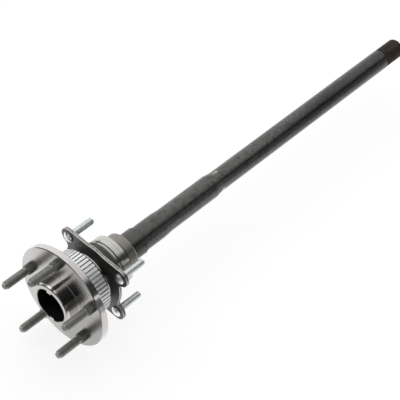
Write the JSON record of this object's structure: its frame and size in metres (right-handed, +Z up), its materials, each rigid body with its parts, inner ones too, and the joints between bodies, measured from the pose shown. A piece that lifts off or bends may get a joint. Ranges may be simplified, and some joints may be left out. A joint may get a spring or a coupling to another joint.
{
  "type": "axle shaft",
  "caption": "Flanged rear axle shaft with pressed wheel studs, toothed speed-sensor ring, bearing retainer plate, oil seal, tapered roller bearing, lock collar and splined inner end",
  "frame": {"origin": "centre of the wheel face of the flange, on the axis of the shaft", "axes": "+Y along the shaft towards its splined end, so the wheel side faces -Y; +Z up and +X across, in line with the sides of the rectangle of retainer bolts"},
  "size_m": [0.163, 0.8289, 0.1628],
  "materials": {
    "axle_steel": "turned and dark forged steel",
    "stud_steel": "dark phosphate",
    "tone_zinc": "pale zinc plating",
    "plate_black": "black coating, worn at the edges",
    "bolt_zinc": "pale zinc plating",
    "seal_rubber": "satin",
    "seal_steel": "plain drawn steel",
    "bearing_steel": "ground",
    "cage_steel": "pressed sheet",
    "collar_steel": "turned, lightly browned"
  },
  "bodies": {
    "carrier": {"retainer_plate": "plate_black", "retainer_bolt_1": "bolt_zinc", "retainer_bolt_2": "bolt_zinc", "retainer_bolt_3": "bolt_zinc", "retainer_bolt_4": "bolt_zinc", "oil_seal_case": "seal_steel", "oil_seal_rubber": "seal_rubber", "oil_seal_spring": "seal_steel", "bearing_cup": "bearing_steel"},
    "axle": {"axle_shaft": "axle_steel", "wheel_stud_1": "stud_steel", "wheel_stud_2": "stud_steel", "wheel_stud_3": "stud_steel", "wheel_stud_4": "stud_steel", "wheel_stud_5": "stud_steel", "tone_ring": "tone_zinc", "bearing_cone": "bearing_steel", "lock_collar": "collar_steel"},
    "cage": {"bearing_cage": "cage_steel"},
    "roller_1": {"bearing_roller_1": "bearing_steel"},
    "roller_2": {"bearing_roller_2": "bearing_steel"},
    "roller_3": {"bearing_roller_3": "bearing_steel"},
    "roller_4": {"bearing_roller_4": "bearing_steel"},
    "roller_5": {"bearing_roller_5": "bearing_steel"},
    "roller_6": {"bearing_roller_6": "bearing_steel"},
    "roller_7": {"bearing_roller_7": "bearing_steel"},
    "roller_8": {"bearing_roller_8": "bearing_steel"},
    "roller_9": {"bearing_roller_9": "bearing_steel"},
    "roller_10": {"bearing_roller_10": "bearing_steel"},
    "roller_11": {"bearing_roller_11": "bearing_steel"},
    "roller_12": {"bearing_roller_12": "bearing_steel"},
    "roller_13": {"bearing_roller_13": "bearing_steel"},
    "roller_14": {"bearing_roller_14": "bearing_steel"},
    "roller_15": {"bearing_roller_15": "bearing_steel"},
    "roller_16": {"bearing_roller_16": "bearing_steel"},
    "roller_17": {"bearing_roller_17": "bearing_steel"},
    "roller_18": {"bearing_roller_18": "bearing_steel"}
  },
  "joints": [
    {"name": "axle_spin", "type": "hinge", "parent": "carrier", "child": "axle", "pos_m": [0, 0.0966, 0], "axis": [0, 1, 0], "continuous": true},
    {"name": "cage_spin", "type": "hinge", "parent": "carrier", "child": "cage", "pos_m": [0, 0.0966, 0], "axis": [0, 1, 0], "continuous": true},
    {"name": "roller_spin_1", "type": "hinge", "parent": "cage", "child": "roller_1", "pos_m": [0.03027, 0.0966, 0], "axis": [0.2292, 0.9734, 0], "continuous": true},
    {"name": "roller_spin_2", "type": "hinge", "parent": "cage", "child": "roller_2", "pos_m": [0.02844, 0.0966, 0.01035], "axis": [0.2154, 0.9734, 0.0784], "continuous": true},
    {"name": "roller_spin_3", "type": "hinge", "parent": "cage", "child": "roller_3", "pos_m": [0.02319, 0.0966, 0.01946], "axis": [0.1756, 0.9734, 0.1473], "continuous": true},
    {"name": "roller_spin_4", "type": "hinge", "parent": "cage", "child": "roller_4", "pos_m": [0.01513, 0.0966, 0.02621], "axis": [0.1146, 0.9734, 0.1985], "continuous": true},
    {"name": "roller_spin_5", "type": "hinge", "parent": "cage", "child": "roller_5", "pos_m": [0.00526, 0.0966, 0.02981], "axis": [0.0398, 0.9734, 0.2257], "continuous": true},
    {"name": "roller_spin_6", "type": "hinge", "parent": "cage", "child": "roller_6", "pos_m": [-0.00526, 0.0966, 0.02981], "axis": [-0.0398, 0.9734, 0.2257], "continuous": true},
    {"name": "roller_spin_7", "type": "hinge", "parent": "cage", "child": "roller_7", "pos_m": [-0.01513, 0.0966, 0.02621], "axis": [-0.1146, 0.9734, 0.1985], "continuous": true},
    {"name": "roller_spin_8", "type": "hinge", "parent": "cage", "child": "roller_8", "pos_m": [-0.02319, 0.0966, 0.01946], "axis": [-0.1756, 0.9734, 0.1473], "continuous": true},
    {"name": "roller_spin_9", "type": "hinge", "parent": "cage", "child": "roller_9", "pos_m": [-0.02844, 0.0966, 0.01035], "axis": [-0.2154, 0.9734, 0.0784], "continuous": true},
    {"name": "roller_spin_10", "type": "hinge", "parent": "cage", "child": "roller_10", "pos_m": [-0.03027, 0.0966, 0], "axis": [-0.2292, 0.9734, 0], "continuous": true},
    {"name": "roller_spin_11", "type": "hinge", "parent": "cage", "child": "roller_11", "pos_m": [-0.02844, 0.0966, -0.01035], "axis": [-0.2154, 0.9734, -0.0784], "continuous": true},
    {"name": "roller_spin_12", "type": "hinge", "parent": "cage", "child": "roller_12", "pos_m": [-0.02319, 0.0966, -0.01946], "axis": [-0.1756, 0.9734, -0.1473], "continuous": true},
    {"name": "roller_spin_13", "type": "hinge", "parent": "cage", "child": "roller_13", "pos_m": [-0.01513, 0.0966, -0.02621], "axis": [-0.1146, 0.9734, -0.1985], "continuous": true},
    {"name": "roller_spin_14", "type": "hinge", "parent": "cage", "child": "roller_14", "pos_m": [-0.00526, 0.0966, -0.02981], "axis": [-0.0398, 0.9734, -0.2257], "continuous": true},
    {"name": "roller_spin_15", "type": "hinge", "parent": "cage", "child": "roller_15", "pos_m": [0.00526, 0.0966, -0.02981], "axis": [0.0398, 0.9734, -0.2257], "continuous": true},
    {"name": "roller_spin_16", "type": "hinge", "parent": "cage", "child": "roller_16", "pos_m": [0.01513, 0.0966, -0.02621], "axis": [0.1146, 0.9734, -0.1985], "continuous": true},
    {"name": "roller_spin_17", "type": "hinge", "parent": "cage", "child": "roller_17", "pos_m": [0.02319, 0.0966, -0.01946], "axis": [0.1756, 0.9734, -0.1473], "continuous": true},
    {"name": "roller_spin_18", "type": "hinge", "parent": "cage", "child": "roller_18", "pos_m": [0.02844, 0.0966, -0.01035], "axis": [0.2154, 0.9734, -0.0784], "continuous": true}
  ],
  "couplings": [
    {"joint": "cage_spin", "follows": "axle_spin", "ratio": 0.43884},
    {"joint": "roller_spin_1", "follows": "axle_spin", "ratio": -3.9193},
    {"joint": "roller_spin_2", "follows": "axle_spin", "ratio": -3.9193},
    {"joint": "roller_spin_3", "follows": "axle_spin", "ratio": -3.9193},
    {"joint": "roller_spin_4", "follows": "axle_spin", "ratio": -3.9193},
    {"joint": "roller_spin_5", "follows": "axle_spin", "ratio": -3.9193},
    {"joint": "roller_spin_6", "follows": "axle_spin", "ratio": -3.9193},
    {"joint": "roller_spin_7", "follows": "axle_spin", "ratio": -3.9193},
    {"joint": "roller_spin_8", "follows": "axle_spin", "ratio": -3.9193},
    {"joint": "roller_spin_9", "follows": "axle_spin", "ratio": -3.9193},
    {"joint": "roller_spin_10", "follows": "axle_spin", "ratio": -3.9193},
    {"joint": "roller_spin_11", "follows": "axle_spin", "ratio": -3.9193},
    {"joint": "roller_spin_12", "follows": "axle_spin", "ratio": -3.9193},
    {"joint": "roller_spin_13", "follows": "axle_spin", "ratio": -3.9193},
    {"joint": "roller_spin_14", "follows": "axle_spin", "ratio": -3.9193},
    {"joint": "roller_spin_15", "follows": "axle_spin", "ratio": -3.9193},
    {"joint": "roller_spin_16", "follows": "axle_spin", "ratio": -3.9193},
    {"joint": "roller_spin_17", "follows": "axle_spin", "ratio": -3.9193},
    {"joint": "roller_spin_18", "follows": "axle_spin", "ratio": -3.9193}
  ]
}
